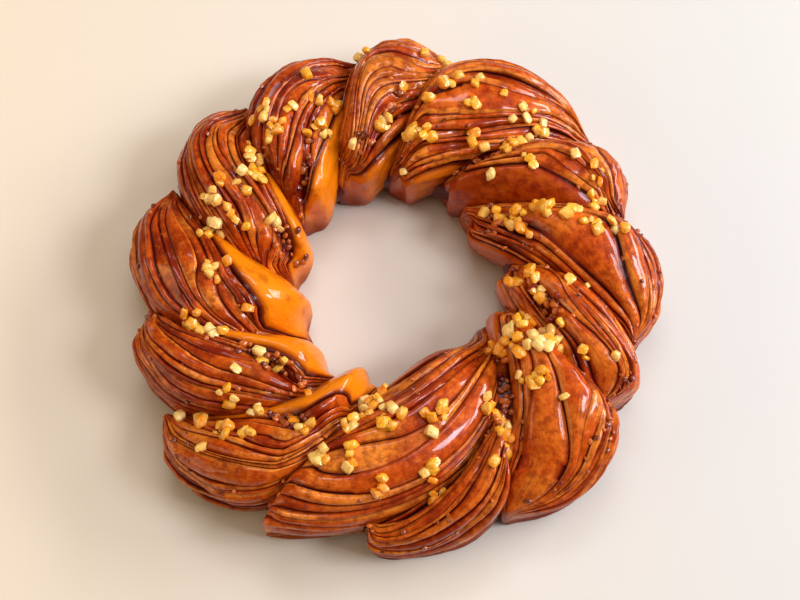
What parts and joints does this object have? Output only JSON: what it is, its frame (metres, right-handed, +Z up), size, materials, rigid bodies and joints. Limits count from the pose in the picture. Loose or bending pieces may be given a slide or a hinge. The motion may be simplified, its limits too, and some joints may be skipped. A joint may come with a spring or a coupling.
{
  "type": "braided loaf",
  "caption": "Glazed sweet bread twisted from a split filled roll into a ring, its cut layers up, with candied peel cubes on top.",
  "frame": {"origin": "middle of the loaf's outline on the surface that it rests on", "axes": "+Z up out of the loaf's top; +X and +Y level, with +Y away from the viewer of the picture"},
  "size_m": [0.289, 0.2964, 0.0626],
  "materials": {
    "crust": "baked dough layers under a clear syrup glaze",
    "peel": "candied citrus peel, translucent and sticky",
    "filling": "sticky dark amber fruit filling"
  },
  "bodies": {
    "root": {"loaf": "crust"}
  },
  "joints": []
}
